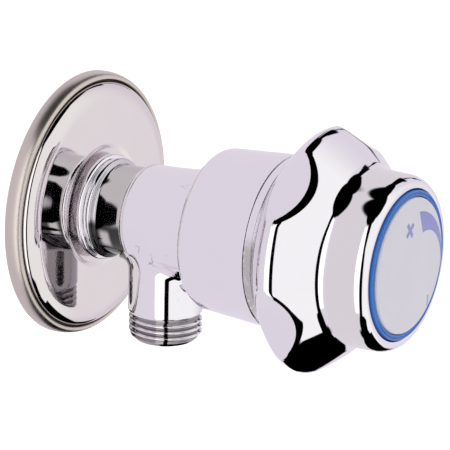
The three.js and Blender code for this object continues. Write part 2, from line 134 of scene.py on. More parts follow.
def outline(items, steps=5):
    """Points of an outline: each item is a point, or a corner with its rounding as third number."""
    points = []
    for i, item in enumerate(items):
        here = Vector(item[:2])
        if len(item) == 2:
            points.append((item[0], item[1]))
            continue
        back = Vector(items[i - 1][:2]) - here
        ahead = Vector(items[(i + 1) % len(items)][:2]) - here
        cut = min(item[2], 0.4 * back.length, 0.4 * ahead.length)
        back.normalize()
        ahead.normalize()
        start = here + back * cut
        end = here + ahead * cut
        points.append(tuple(start + back * cut * SUPPORT))
        points.extend(bend(tuple(start), tuple(here), tuple(end), steps))
        points.append(tuple(end + ahead * cut * SUPPORT))
    return points


# ---- meshes ----
def round_valve_axis(radius, reach, angle):
    """A point round the valve axis: the angle runs from straight up towards -X."""
    return Vector((-radius * math.sin(angle), -reach, radius * math.cos(angle))) * MM


def round_outlet_axis(radius, depth, angle):
    """A point round the outlet's upright axis, at a depth below the valve axis."""
    return Vector((radius * math.cos(angle), radius * math.sin(angle) - OUTLET_REACH, -depth)) * MM


def as_is(radius, reach, angle):
    return radius, reach


def turned_mesh(points, around=AROUND, place=round_valve_axis, shape=as_is):
    """A closed mesh: every point goes round the axis, and shape may move it by angle."""
    mesh = bmesh.new()
    rings = []
    for radius, reach in points:
        if radius < 1e-4:
            rings.append([mesh.verts.new(place(0, reach, 0))])
            continue
        ring = []
        for i in range(around):
            angle = 2 * math.pi * i / around
            ring.append(mesh.verts.new(place(*shape(radius, reach, angle), angle)))
        rings.append(ring)
    for i, ring in enumerate(rings):
        join_rings(mesh, ring, rings[(i + 1) % len(rings)])
    bmesh.ops.recalc_face_normals(mesh, faces=mesh.faces)
    return mesh


def join_rings(mesh, ring, other):
    """Faces between two rings of vertices, one of which may be a single point."""
    count = max(len(ring), len(other))
    if min(len(ring), len(other)) == 1 and count == 1:
        return
    for i in range(count):
        after = (i + 1) % count
        corners = [ring[i % len(ring)], ring[after % len(ring)],
                   other[after % len(other)], other[i % len(other)]]
        distinct = list(dict.fromkeys(corners))
        mesh.faces.new(distinct)


def as_object(name, mesh):
    """A smooth shaded object from a bmesh."""
    data = bpy.data.meshes.new(name)
    mesh.to_mesh(data)
    mesh.free()
    for face in data.polygons:
        face.use_smooth = True
    made = bpy.data.objects.new(name, data)
    bpy.context.scene.collection.objects.link(made)
    return made


def finished(piece, body, slot, look, *nodes):
    """Gives a piece its look and the body it rides on, and hides the CAD nodes it stands for; slot is
    not used.
    """
    piece.data.materials.clear()
    piece.data.materials.append(look)
    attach(piece, body)
    if nodes:
        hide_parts(*nodes)
    return piece


def apply_modifiers(piece):
    """Turns a piece's modifiers into plain mesh."""
    graph = bpy.context.evaluated_depsgraph_get()
    data = bpy.data.meshes.new_from_object(
        piece.evaluated_get(graph), preserve_all_data_layers=True, depsgraph=graph)
    piece.modifiers.clear()
    piece.data = data


def combine(piece, other, operation):
    """Joins another solid to a piece, or cuts it out."""
    step = piece.modifiers.new("combine", "BOOLEAN")
    step.operation = operation
    step.solver = "EXACT"
    step.object = other
    apply_modifiers(piece)


def carry_shading(piece, sources):
    """Gives a combined piece the smooth shading of the turned solids that it was made from."""
    mesh = bmesh.new()
    for source in sources:
        mesh.from_mesh(source.data)
    whole = as_object(piece.name + "_shading", mesh)
    step = piece.modifiers.new("shading", "DATA_TRANSFER")
    step.object = whole
    step.use_loop_data = True
    step.data_types_loops = {"CUSTOM_NORMAL"}
    step.loop_mapping = "POLYINTERP_NEAREST"
    apply_modifiers(piece)
    for spare in [whole, *sources]:
        bpy.data.objects.remove(spare)


def share_of(value, low, high):
    """How far a number is from low, at 0, to high, at 1."""
    return min(max((value - low) / (high - low), 0), 1)


def thread_radius(along, start, end, angle):
    """Radius of a right handed screw thread that runs out softly at both ends."""
    run_out = 0.9
    phase = (along / THREAD_PITCH - angle / (2 * math.pi)) % 1
    ridge = share_of(1 - abs(2 * phase - 1), THREAD_FLAT, 1 - THREAD_FLAT)
    fade = share_of(along, start, start + run_out) * (1 - share_of(along, end - run_out, end))
    return THREAD_R - THREAD_DEPTH + THREAD_DEPTH * ridge * fade


# ---- shader writing ----
class Value:
    """A node's output, so that arithmetic on it writes Math nodes."""

    def __init__(self, recipe, socket):
        self.recipe = recipe
        self.socket = socket

    def math(self, operation, *others):
        return self.recipe.node("ShaderNodeMath", {"operation": operation},
                                dict(enumerate((self, *others))))

    def flipped(self, operation, other):
        """The operation with the other value first."""
        return self.recipe.node("ShaderNodeMath", {"operation": operation}, {0: other, 1: self})

    def __add__(self, other):
        return self.math("ADD", other)

    __radd__ = __add__

    def __sub__(self, other):
        return self.math("SUBTRACT", other)

    def __rsub__(self, other):
        return self.flipped("SUBTRACT", other)

    def __mul__(self, other):
        return self.math("MULTIPLY", other)

    __rmul__ = __mul__

    def __truediv__(self, other):
        return self.math("DIVIDE", other)

    def __rtruediv__(self, other):
        return self.flipped("DIVIDE", other)


class Recipe:
    """A node tree being written."""

    def __init__(self, tree):
        self.tree = tree
        tree.nodes.clear()

    def node(self, kind, settings=None, inputs=None, output=0):
        made = self.tree.nodes.new(kind)
        for name, value in (settings or {}).items():
            setattr(made, name, value)
        for name, value in (inputs or {}).items():
            self.feed(made.inputs[name], value)
        return Value(self, made.outputs[output]) if made.outputs else None

    def feed(self, socket, value):
        if isinstance(value, Value):
            self.tree.links.new(value.socket, socket)
        else:
            socket.default_value = value

    def place(self):
        """Where a point is on the piece, in metres."""
        return self.node("ShaderNodeTexCoord", output="Object")

    def parts(self, vector):
        """The three numbers of a vector."""
        made = self.node("ShaderNodeSeparateXYZ", None, {"Vector": vector})
        outputs = made.socket.node.outputs
        return [Value(self, outputs[axis]) for axis in "XYZ"]

    def joined(self, x, y, z):
        return self.node("ShaderNodeCombineXYZ", None, {"X": x, "Y": y, "Z": z})

    def stretched(self, vector, x, y, z):
        """A place squeezed along the axes, so that noise on it is drawn out into streaks."""
        return self.node("ShaderNodeVectorMath", {"operation": "MULTIPLY"}, {
            0: vector, 1: (x, y, z)})

    def from_axis(self, x, y):
        """Distance from an axis, from two of a point's numbers."""
        return (x * x + y * y).math("SQRT")

    def noise(self, vector, size, detail, distortion=0.0):
        """Soft noise from 0 to 1, whose blotches are about size millimetres across."""
        return self.node("ShaderNodeTexNoise", {"noise_dimensions": "3D"}, {
            "Vector": vector, "Scale": 1 / (size * MM), "Detail": detail,
            "Distortion": distortion})

    def step(self, value, low, high):
        """0 below low, 1 above high, and smooth between them."""
        return self.node("ShaderNodeMapRange", {"interpolation_type": "SMOOTHSTEP"}, {
            "Value": value, "From Min": low, "From Max": high, "To Min": 0.0, "To Max": 1.0})

    def between(self, value, low, high, soft):
        """1 between low and high, with soft ends."""
        return (self.step(value, low - soft, low + soft)
                * (1 - self.step(value, high - soft, high + soft)))

    def rise(self, value, low, high):
        """A step on a place in metres, with its limits in millimetres."""
        return self.step(value, low * MM, high * MM)

    def band(self, value, low, high, soft):
        """Between, on a place in metres, with its limits in millimetres."""
        return self.between(value, low * MM, high * MM, soft * MM)

    def mix(self, share, first, second):
        """A colour from first, at share 0, to second, at share 1."""
        made = self.tree.nodes.new("ShaderNodeMix")
        made.data_type = "RGBA"
        self.feed(made.inputs["Factor"], share)
        for socket, value in ((made.inputs[6], first), (made.inputs[7], second)):
            self.feed(socket, value if isinstance(value, Value) else (*value, 1))
        return Value(self, made.outputs[2])

    def bump(self, height, strength, distance, under=None):
        """A surface normal raised by a height, over a distance in millimetres."""
        inputs = {"Height": height, "Strength": strength, "Distance": distance * MM}
        if under is not None:
            inputs["Normal"] = under
        return self.node("ShaderNodeBump", None, inputs)


def look(name, values, write):
    """A material: values go on the shader's sockets, and write returns its varying inputs."""
    material = bpy.data.materials.new(name)
    material.use_nodes = True
    recipe = Recipe(material.node_tree)
    shader = recipe.node("ShaderNodeBsdfPrincipled", None, values)
    for socket, value in write(recipe).items():
        recipe.feed(shader.socket.node.inputs[socket], value)
    recipe.node("ShaderNodeOutputMaterial", None, {"Surface": shader})
    return material


# ---- finishes ----
CHROME_PALE = (0.885, 0.865, 0.90)
CHROME_DEEP = (0.85, 0.83, 0.87)
FLANGE_PALE = (0.78, 0.735, 0.74)
FLANGE_DEEP = (0.75, 0.705, 0.705)
LIP_SATIN = (0.66, 0.60, 0.55)
# Warmer tint painted round the side of the cap as a reflection.
CAP_REFLECTION_TINT = (0.825, 0.82, 0.80)
# Grey of the painted reflection in the patch at the handle's rear edge.
PAINTED_REFLECTION_GREY = (0.56, 0.55, 0.53)
# Colour of the scratches, and of the painted shade in the thread roots.
SCRATCH_AND_SHADE_GREY = (0.16, 0.15, 0.14)
# Black of the painted reflection on the neck and of the painted shade in the flange groove.
PAINTED_REFLECTION_AND_SHADE_BLACK = (0.03, 0.03, 0.03)

# Painted reflection and painted shade, where bare metal would only mirror dark surroundings.
# At 0 each of these leaves plain metal.
NECK_REFLECTION_GREY = 0.30
NECK_REFLECTION_BLACK = 0.67
GROOVE_SHADE = 0.9
ROOT_SHADE_GREY = 0.75


def write_polished_chrome(recipe):
    """Smooth plating, with a grey patch of painted reflection behind one lobe, where the plating is
    also rougher, and a painted warmer reflection round the side of the cap.
    """
    place = recipe.place()
    cloud = recipe.noise(place, 14, 3)
    wiping = recipe.noise(recipe.stretched(place, 1.0, 0.12, 1.0), 0.35, 2)
    swell = recipe.noise(place, 7, 1)
    grain = recipe.noise(place, 0.16, 2)
    x, y, z = recipe.parts(place)
    # Painted reflection: a grey patch at the handle's rear edge on the -X side, where the plating is
    # also rougher.
    rear_edge = recipe.band(y, -72.5, -67.9, 0.2) * recipe.band(z, -16, 6, 3)
    patchy = recipe.step(recipe.noise(place, 1.6, 4), 0.25, 0.5)
    dull_and_painted_reflection = rear_edge * recipe.rise(0 - x, 15, 18) * patchy
    # Painted reflection: a warmer band round the side of the cap.
    painted_cap_reflection = recipe.band(y, -103.0, -93.5, 0.6)
    chrome = recipe.mix(painted_cap_reflection, recipe.mix(cloud, CHROME_PALE, CHROME_DEEP), CAP_REFLECTION_TINT)
    haze = 0.045 * recipe.step(cloud, 0.35, 0.75) + 0.02 * wiping
    return {
        "Base Color": recipe.mix(dull_and_painted_reflection, chrome, PAINTED_REFLECTION_GREY),
        "Roughness": 0.015 + haze + 0.2 * dull_and_painted_reflection,
        "Normal": recipe.bump(swell, 0.10, 0.05, recipe.bump(grain, 0.05, 0.002)),
    }


def scratches(recipe, place):
    """Thin wandering lines in patches, for the side of the casting."""
    offset = recipe.node("ShaderNodeVectorMath", {"operation": "SCALE"}, {
        0: recipe.node("ShaderNodeTexNoise", None, {"Vector": place, "Scale": 300.0}, output="Color"),
        "Scale": 0.004})
    wandering = recipe.node("ShaderNodeVectorMath", {"operation": "ADD"}, {0: place, 1: offset})
    from_line = recipe.node("ShaderNodeTexVoronoi", {"feature": "DISTANCE_TO_EDGE"}, {
        "Vector": wandering, "Scale": 210.0})
    patches = recipe.step(recipe.noise(place, 9, 2), 0.60, 0.72)
    return (1 - recipe.step(from_line, 0.0, 0.05)) * patches


def painted_neck_reflection(recipe, place, y, z):
    """Share of black in the neck's painted reflection: grey all round, and darker on its underside,
    where bare metal would only mirror dark surroundings.
    """
    neck = recipe.band(y, -21.2, -11.6, 0.3)
    wavy = 0.004 * (recipe.noise(place, 5, 1) - 0.5)
    # Painted reflection, darker towards the underside.
    under = recipe.rise(0 - z + wavy, 0.0, 2.5)
    # A lighter spot left in the painted reflection.
    bright_spot = recipe.band(y, -17.2, -14.2, 0.8) * recipe.band(z, -7.5, -3.0, 1.0)
    under = under * (1 - bright_spot)
    under = under * (0.45 + 0.55 * recipe.rise(z, -14.5, -13.0))
    return neck * (NECK_REFLECTION_GREY + NECK_REFLECTION_BLACK * under)


def write_casting_chrome(recipe):
    """Plating over a cast surface: scratches, a painted reflection on the neck and painted shade in
    the roots of the outlet thread.
    """
    place = recipe.place()
    cloud = recipe.noise(place, 11, 3)
    pores = recipe.noise(place, 0.5, 3)
    swell = recipe.noise(place, 6, 2)
    grain = recipe.noise(place, 0.2, 2)
    x, y, z = recipe.parts(place)
    marks = scratches(recipe, place) * (1 - recipe.rise(y, -21.5, -20.5))
    from_outlet = recipe.from_axis(x, y + OUTLET_REACH * MM)
    # Painted shade in the roots of the outlet thread.
    root_shade = recipe.band(from_outlet, 8.8, 10.0, 0.2) * recipe.rise(0 - z, 27.2, 27.8)
    chrome = recipe.mix(cloud, CHROME_PALE, CHROME_DEEP)
    # A painted reflection of dark surroundings on the neck.
    chrome = recipe.mix(painted_neck_reflection(recipe, place, y, z), chrome, PAINTED_REFLECTION_AND_SHADE_BLACK)
    # Scratches, and painted shade in the thread roots.
    dark = (marks * 0.6).math("MAXIMUM", root_shade * ROOT_SHADE_GREY)
    haze = 0.05 * recipe.step(cloud, 0.35, 0.75) + 0.03 * recipe.step(pores, 0.6, 0.8)
    cut = recipe.bump(1 - marks, 0.5, 0.03, recipe.bump(grain, 0.06, 0.003))
    return {
        "Base Color": recipe.mix(dark, chrome, SCRATCH_AND_SHADE_GREY),
        "Roughness": 0.02 + haze + 0.10 * marks,
        "Normal": recipe.bump(swell, 0.10, 0.05, cut),
    }


def write_flange_chrome(recipe):
    """Turned and polished sheet with a satin lip and a dark ring of painted shade in the groove
    inside it.
    """
    place = recipe.place()
    x, _, z = recipe.parts(place)
    radius = recipe.from_axis(x, z) / MM
    angle = x.math("ARCTAN2", z)
    lip = recipe.step(radius, FLANGE_R - 3.0, FLANGE_R - 2.4)
    # Painted shade: a dark ring in the groove inside the lip.
    groove_shade = recipe.between(radius, FLANGE_R - 2.75, FLANGE_R - 2.15, 0.12)
    recess = 1 - recipe.step(radius, 16.6, 17.0)
    turning = recipe.noise(recipe.joined(radius * 0.0025, angle * 0.0006, 0.0), 1.0, 3)
    cloud = recipe.noise(place, 9, 3)
    brushed = recipe.noise(recipe.joined(angle * 0.03, radius * 0.0004, 0.0), 0.35, 3)
    satin = lip.math("MAXIMUM", recess * 0.6)
    face = recipe.mix(lip, recipe.mix(cloud, FLANGE_PALE, FLANGE_DEEP), LIP_SATIN)
    haze = 0.05 * recipe.step(cloud, 0.4, 0.8)
    return {
        "Base Color": recipe.mix(groove_shade * GROOVE_SHADE, face, PAINTED_REFLECTION_AND_SHADE_BLACK),
        "Roughness": 0.035 + haze + satin * (0.22 + 0.10 * brushed),
        "Normal": recipe.bump(turning, 0.12, 0.02, recipe.bump(brushed * satin, 0.35, 0.02)),
    }


def write_machined_brass(recipe):
    place = recipe.place()
    x, reach, z = recipe.parts(place)
    radius = recipe.from_axis(x, z)
    turning = recipe.noise(recipe.joined(radius, reach, 0.0), 0.12, 2)
    stain = recipe.noise(place, 4, 4)
    return {
        "Base Color": recipe.mix(stain, (0.78, 0.60, 0.30), (0.60, 0.44, 0.22)),
        "Roughness": 0.22 + 0.16 * stain + 0.10 * turning,
        "Normal": recipe.bump(turning, 0.35, 0.02),
    }


def write_spring_steel(recipe):
    place = recipe.place()
    drawn = recipe.noise(recipe.stretched(place, 1.0, 0.1, 1.0), 0.2, 3)
    cloud = recipe.noise(place, 3, 3)
    return {
        "Base Color": recipe.mix(cloud, (0.62, 0.63, 0.65), (0.50, 0.51, 0.54)),
        "Roughness": 0.24 + 0.18 * drawn,
        "Normal": recipe.bump(drawn, 0.25, 0.015),
    }


def write_black_rubber(recipe):
    place = recipe.place()
    bloom = recipe.noise(place, 2.5, 4)
    pores = recipe.noise(place, 0.18, 3)
    return {
        "Base Color": recipe.mix(bloom, (0.018, 0.018, 0.019), (0.05, 0.05, 0.052)),
        "Roughness": 0.55 + 0.25 * pores,
        "Normal": recipe.bump(pores, 0.4, 0.02),
    }


def write_red_fibre(recipe):
    place = recipe.place()
    fibres = recipe.noise(recipe.stretched(place, 1.0, 1.0, 0.15), 0.25, 4)
    return {
        "Base Color": recipe.mix(fibres, (0.46, 0.15, 0.10), (0.30, 0.09, 0.06)),
        "Roughness": 0.7 + 0.25 * fibres,
        "Normal": recipe.bump(fibres, 0.5, 0.03),
    }


def write_white_nylon(recipe):
    place = recipe.place()
    flow = recipe.noise(place, 5, 2, distortion=0.6)
    skin = recipe.noise(place, 0.3, 2)
    return {
        "Base Color": recipe.mix(flow, (0.86, 0.85, 0.80), (0.78, 0.77, 0.72)),
        "Roughness": 0.38 + 0.15 * skin,
        "Normal": recipe.bump(skin, 0.2, 0.02),
    }


def write_blue_plastic(recipe):
    place = recipe.place()
    flow = recipe.noise(place, 4, 3)
    skin = recipe.noise(place, 0.5, 2)
    return {
        "Base Color": recipe.mix(flow, (0.022, 0.13, 0.47), (0.04, 0.18, 0.56)),
        "Roughness": 0.16 + 0.12 * skin,
        "Normal": recipe.bump(skin, 0.25, 0.02),
    }


def write_pale_plastic(recipe):
    place = recipe.place()
    flow = recipe.noise(place, 9, 3)
    skin = recipe.noise(place, 0.22, 3)
    return {
        "Base Color": recipe.mix(flow, (0.655, 0.645, 0.70), (0.62, 0.61, 0.665)),
        "Roughness": 0.34 + 0.12 * skin,
        "Normal": recipe.bump(skin, 0.18, 0.02),
    }


def write_index_print(recipe):
    place = recipe.place()
    speckle = recipe.noise(place, 0.18, 3)
    patch = recipe.noise(place, 2.0, 2)
    return {
        "Base Color": recipe.mix(speckle, (0.24, 0.25, 0.56), (0.30, 0.31, 0.61)),
        "Roughness": 0.40 + 0.15 * patch,
        "Normal": recipe.bump(speckle, 0.2, 0.01),
    }


METAL = {"Metallic": 1.0}
HARD_PLASTIC = {"IOR": 1.49}
LOOKS = {name: look(name, values, write) for name, values, write in (
    ("polished_chrome", METAL, write_polished_chrome),
    ("casting_chrome", METAL, write_casting_chrome),
    ("flange_chrome", METAL, write_flange_chrome),
    ("machined_brass", METAL, write_machined_brass),
    ("spring_steel", METAL, write_spring_steel),
    ("black_rubber", {"Specular IOR Level": 0.4}, write_black_rubber),
    ("red_fibre", {"Specular IOR Level": 0.3}, write_red_fibre),
    ("white_nylon", {"IOR": 1.52}, write_white_nylon),
    ("blue_plastic", HARD_PLASTIC, write_blue_plastic),
    ("pale_plastic", HARD_PLASTIC, write_pale_plastic),
    ("index_print", HARD_PLASTIC, write_index_print),
)}


# ---- wall flange ----
def wall_flange():
    """A pressed sheet: lip, groove, swept face, embossed ring and dished middle."""
    lip_r = FLANGE_R - 1.6
    lip_reach = FLANGE_FACE - 2.5
    groove_r = FLANGE_R - 2.55
    face_r = FLANGE_R - 7.5
    emboss_r = 17.4
    dish = FLANGE_FACE - 0.7
    hole_r = THREAD_R + 0.5
    sheet = 1.0
    front = [
        *quarter((FLANGE_R, 0.6), (lip_r, lip_reach), False),
        (lip_r - 0.35, lip_reach - 0.08),
        (lip_r - 0.42, lip_reach - 0.19),
        (groove_r + 0.08, lip_reach - 0.98),
        (groove_r, lip_reach - 1.05),
        *quarter((groove_r - 0.12, lip_reach - 0.8), (face_r, FLANGE_FACE), False, 18),
        (face_r - 0.4, FLANGE_FACE),
        (emboss_r + 0.5, FLANGE_FACE, 0.3),
        (emboss_r - 1.0, dish, 0.3),
        (hole_r, dish, 0.15),
    ]
    back = [
        (hole_r, dish - sheet, 0.15),
        (emboss_r - 0.8, dish - sheet),
        (emboss_r + 0.4, FLANGE_FACE - sheet),
        (face_r - 0.4, FLANGE_FACE - sheet),
        (groove_r - 1.4, lip_reach - sheet - 0.2),
        (lip_r - 0.6, lip_reach - sheet - 0.4),
        (FLANGE_R - sheet, 1.4),
        (FLANGE_R - sheet, 0, 0.1),
        (FLANGE_R, 0, 0.1),
    ]
    piece = as_object("flange_shell", turned_mesh(outline(front + back), FLANGE_AROUND))
    return finished(piece, "fixed", "flange_chrome", LOOKS["flange_chrome"], "wall_flange")


# ---- valve body ----
CHAMBER_R = 10.6
CHAMBER_START = 21.5
OUTLET_BORE_TOP = 8.8
COLLAR_START = FLANGE_FACE + 1.0
NECK_R = 12.8
NECK_END = 21.8
INLET_THREAD_END = COLLAR_START - 1.2


def casting_outside():
    """The casting's outside from the inlet to the front, without the inlet thread's ridges."""
    row_height = 0.16
    start = INLET_END + THREAD_LEAD
    rows = int((INLET_THREAD_END - start) / row_height)
    thread = [(THREAD_R, start + (INLET_THREAD_END - start) * i / rows) for i in range(rows + 1)]
    ridge_r = 15.2
    second_r = 14.4
    return [
        (THREAD_R - 1.9, INLET_END, 0.1),
        (THREAD_R - THREAD_DEPTH - 0.02, INLET_END + 0.75),
        *thread,
        (THREAD_R - 1.3, COLLAR_START),
        (ridge_r - 0.3, COLLAR_START, 0.1),
        *quarter((ridge_r - 0.1, COLLAR_START + 0.15), (ridge_r, COLLAR_START + 0.5), True, 4),
        *bend((ridge_r, COLLAR_START + 1.0), (ridge_r, COLLAR_START + 1.7),
              (ridge_r - 1.1, COLLAR_START + 1.8), 8),
        (ridge_r - 1.5, COLLAR_START + 1.95),
        *bend((second_r - 0.6, COLLAR_START + 2.2), (second_r, COLLAR_START + 2.3),
              (second_r, COLLAR_START + 3.0), 8),
        *bend((second_r, COLLAR_START + 3.2), (second_r, COLLAR_START + 4.1),
              (NECK_R + 0.6, COLLAR_START + 4.2), 8),
        *bend((NECK_R + 0.25, COLLAR_START + 4.35), (NECK_R, COLLAR_START + 4.6),
              (NECK_R, COLLAR_START + 5.2), 5),
        (NECK_R + 0.1, COLLAR_START + 8),
        (NECK_R + 0.2, NECK_END - 3.6),
        *bend((NECK_R + 0.3, NECK_END - 1.6), (NECK_R + 0.36, NECK_END - 0.6),
              (NECK_R + 0.6, NECK_END - 0.3), 6),
        *bend((NECK_R + 0.7, NECK_END - 0.15), (CASTING_R - 1.0, NECK_END + 0.25),
              (CASTING_R - 0.9, NECK_END + 1.1), 8),
        *bend((CASTING_R - 0.87, NECK_END + 1.6), (CASTING_R - 0.6, 31), (CASTING_R, 38), 10),
        (CASTING_R, CASTING_END - 0.6, 0.3),
        (CASTING_R - 0.6, CASTING_END, 0.3),
    ]


def casting_inside():
    """The casting's inside from the front to the inlet: chamber, seat tube and inlet bore."""
    seat_tube_r = 7.5
    seat_reach = 34.0
    seat_bore_r = 5.5
    inlet_bore_r = 8.0
    return [
        (CHAMBER_R, CASTING_END, 0.2),
        (CHAMBER_R, CHAMBER_START + 1),
        (CHAMBER_R - 1, CHAMBER_START),
        (seat_tube_r, CHAMBER_START),
        (seat_tube_r, seat_reach - 0.4),
        (seat_tube_r - 0.4, seat_reach),
        (seat_bore_r, seat_reach),
        (seat_bore_r, CHAMBER_START - 1.5),
        (inlet_bore_r, CHAMBER_START - 4.5),
        (inlet_bore_r, INLET_END, 0.2),
    ]


def inlet_thread(radius, reach, angle):
    """Raises the thread's ridges on the rows of the casting that carry it."""
    if radius == THREAD_R and reach < INLET_THREAD_END + 0.01:
        return thread_radius(reach, INLET_END + THREAD_LEAD, INLET_THREAD_END, angle), reach
    return radius, reach


def casting_radius(reach):
    """Outside radius of the casting where the outlet boss meets it."""
    neck_r = NECK_R + 0.8
    shoulder_r = CASTING_R - 0.9
    step = share_of(reach, NECK_END - 0.6, NECK_END + 1.0)
    swell = share_of(reach, 23, 38)
    return neck_r + (shoulder_r - neck_r) * step + 0.9 * swell * swell


def boss_fillet(share, angle):
    """(radius, depth) of the hollow rounding between boss and casting: share 0 is on the boss."""
    foot_r = BOSS_R + BOSS_FILLET
    across = foot_r * math.cos(angle)
    sunk = 0.006
    surface = casting_radius(OUTLET_REACH - foot_r * math.sin(angle)) - sunk
    foot_depth = math.sqrt(max(surface ** 2 - across ** 2, 4.0))
    slope = foot_r * math.cos(angle) ** 2 / foot_depth
    corner_depth = foot_depth + slope * BOSS_FILLET
    start = (BOSS_R, corner_depth + BOSS_FILLET)
    corner = (BOSS_R, corner_depth)
    foot = (foot_r, foot_depth)
    return tuple((1 - share) ** 2 * a + 2 * share * (1 - share) * b + share ** 2 * c
                 for a, b, c in zip(start, corner, foot))


FILLET_ROWS = 14
FILLET_MARK = -100.0               # depths from here down number the fillet's rows
FILLET_ROOT = FILLET_MARK - FILLET_ROWS - 1


def outlet_shape(radius, depth, angle):
    """Places the rows of the outlet boss: its fillet, its thread and its plain stretches."""
    if depth <= FILLET_MARK:
        row = FILLET_MARK - depth
        if depth == FILLET_ROOT:
            foot_r, foot_depth = boss_fillet(1, angle)
            return foot_r - 1.2, foot_depth - 1.6
        return boss_fillet(row / FILLET_ROWS, angle)
    if radius == THREAD_R:
        return thread_radius(depth, OUTLET_THREAD_TOP, OUTLET_END - THREAD_LEAD, angle), depth
    return radius, depth


def outlet_rows():
    """The outlet boss as a solid plug, from inside the casting down to the outlet's end."""
    rows = 46
    top = OUTLET_THREAD_TOP
    end = OUTLET_END - THREAD_LEAD
    thread = [(THREAD_R, top + (end - top) * i / rows) for i in range(rows + 1)]
    fillet = [(BOSS_R, FILLET_MARK - i) for i in range(FILLET_ROWS + 1)]
    return [
        (0, 4.0),
        (4.0, 4.0),
        (BOSS_R, FILLET_ROOT),
        *reversed(fillet),
        (BOSS_R, 20.5),
        (BOSS_R, 24.0),
        *bend((BOSS_R, top - 1.2), (BOSS_R, top - 0.4), (BOSS_R - 0.7, top - 0.25), 6),
        (THREAD_R - THREAD_DEPTH, top - 0.1),
        *thread,
        (THREAD_R - THREAD_DEPTH - 0.05, end + 0.05),
        (THREAD_R - 1.9, OUTLET_END, 0.1),
        (0, OUTLET_END),
    ]


def valve_body():
    """The casting joined with its outlet boss, and bored through to the chamber."""
    casting = turned_mesh(outline(casting_outside() + casting_inside()), shape=inlet_thread)
    casting = as_object("casting_solid", casting)
    boss = turned_mesh(outline(outlet_rows()), BOSS_AROUND, round_outlet_axis, outlet_shape)
    boss = as_object("boss_solid", boss)
    core_r = CHAMBER_R - 0.01
    core_end = 44
    core_points = outline([(0, CHAMBER_START), (core_r, CHAMBER_START, 1),
                           (core_r, core_end), (0, core_end)])
    core = as_object("chamber_core", turned_mesh(core_points))
    bore_end = OUTLET_END + 1
    bore_points = outline([(0, OUTLET_BORE_TOP), (OUTLET_BORE_R, OUTLET_BORE_TOP),
                           (OUTLET_BORE_R, bore_end), (0, bore_end)])
    bore = as_object("bore_core", turned_mesh(bore_points, BORE_AROUND, round_outlet_axis))
    combine(boss, core, "DIFFERENCE")
    piece = casting.copy()
    piece.data = casting.data.copy()
    piece.name = "body_casting"
    bpy.context.scene.collection.objects.link(piece)
    combine(piece, boss, "UNION")
    combine(piece, bore, "DIFFERENCE")
    for hollow in (bore, core):
        hollow.data.flip_normals()
    carry_shading(piece, [casting, boss, bore, core])
    return finished(piece, "fixed", "polished_chrome", LOOKS["casting_chrome"], "valve_body")


# ---- bonnet cover ----
def bonnet_cover():
    """A thin bell with an inner web that sits on the bonnet's sleeve."""
    wall = 1.2
    hole_r = CASTING_R + 0.45
    shoulder_r = COVER_R - 1.3
    inner_end_r = COVER_R - wall
    inner_web_r = inner_end_r - 0.5
    web = COVER_END - 6.9
    end = HANDLE_START - 0.14
    sleeve_hole_r = 9.2
    section = [
        (hole_r, COVER_START, 0.15),
        (shoulder_r - 3.9, COVER_START),
        *bend((shoulder_r - 3.4, COVER_START + 0.02), (shoulder_r - 0.15, COVER_START + 0.1),
              (shoulder_r, COVER_START + 3.1), 18),
        (shoulder_r + 0.08, COVER_START + 4.2),
        (COVER_R, end - 0.15),
        *quarter((COVER_R, end - 0.06), (COVER_R - 0.06, end), False, 3),
        (inner_end_r, end, 0.15),
        (inner_web_r, web + 1.8, 0.2),
        (sleeve_hole_r, web + 1.8, 0.1),
        (sleeve_hole_r, web, 0.1),
        (inner_web_r - 0.1, web, 0.2),
        (shoulder_r - wall, COVER_START + 3.4),
        (shoulder_r - 3.4, COVER_START + wall),
        (hole_r, COVER_START + wall, 0.15),
    ]
    piece = as_object("cover_shell", turned_mesh(outline(section), COVER_AROUND))
    return finished(piece, "fixed", "polished_chrome", LOOKS["polished_chrome"], "bonnet_cover")


# ---- handle ----
def scallop_radius(angle):
    """Distance from the axis to the five hollows cut between the lobes."""
    pitch = 2 * math.pi / LOBE_COUNT
    from_valley = angle - FIRST_VALLEY
    offset = from_valley - pitch * round(from_valley / pitch)
    centre = VALLEY_R + VALLEY_ARC_R
    room = VALLEY_ARC_R ** 2 - (centre * math.sin(offset)) ** 2
    if room <= 0:
        return 2 * LOBE_R
    return centre * math.cos(offset) - math.sqrt(room)


def soft_smaller(a, b, softness):
    """The smaller of two numbers, eased where they are close."""
    share = max(softness - abs(a - b), 0) / softness
    return min(a, b) - share * share * softness / 4


def lobed(radius, reach, angle):
    """Holds the rim of the handle inside its five hollows."""
    if radius <= LOBES_START_R or HANDLE_START + 4 > reach:
        return radius, reach
    return soft_smaller(radius, scallop_radius(angle), LOBE_SOFTNESS), reach


